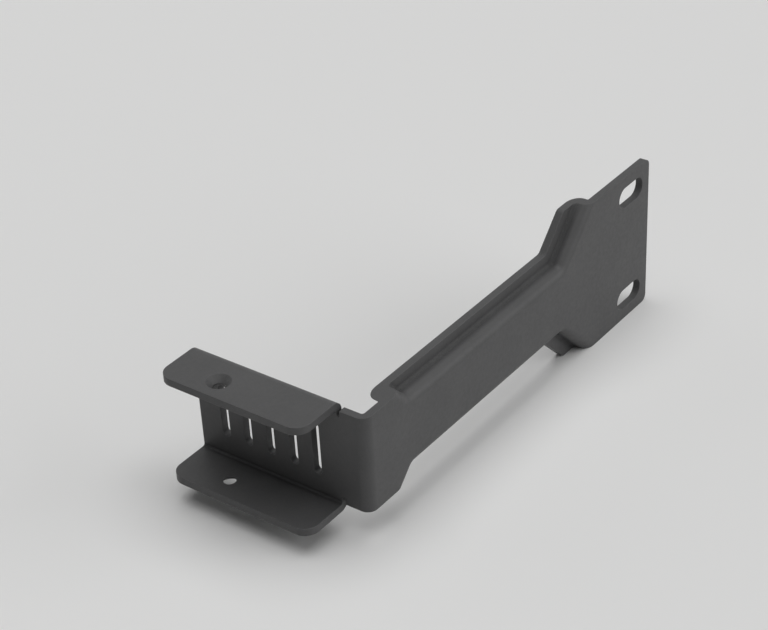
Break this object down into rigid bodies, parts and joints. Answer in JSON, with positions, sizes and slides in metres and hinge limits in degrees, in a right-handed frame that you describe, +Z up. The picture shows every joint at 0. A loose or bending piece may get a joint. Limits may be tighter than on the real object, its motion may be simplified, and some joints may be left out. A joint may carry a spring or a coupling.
{
  "type": "rack mount ear bracket",
  "caption": "Folded sheet-metal ear that carries one side of a small device in a slotted channel and bolts to a rack post through slots in its stepped front arm.",
  "frame": {"origin": "on the ear's back face, which bears on the rack post, halfway between the two rack slots", "axes": "+X from the device out to the rack post, +Y from the front face to the back, +Z up"},
  "size_m": [0.141, 0.051, 0.0444],
  "materials": {
    "coated_sheet": "matte dark grey powder coat"
  },
  "bodies": {
    "root": {"ear_bracket": "coated_sheet"}
  },
  "joints": []
}
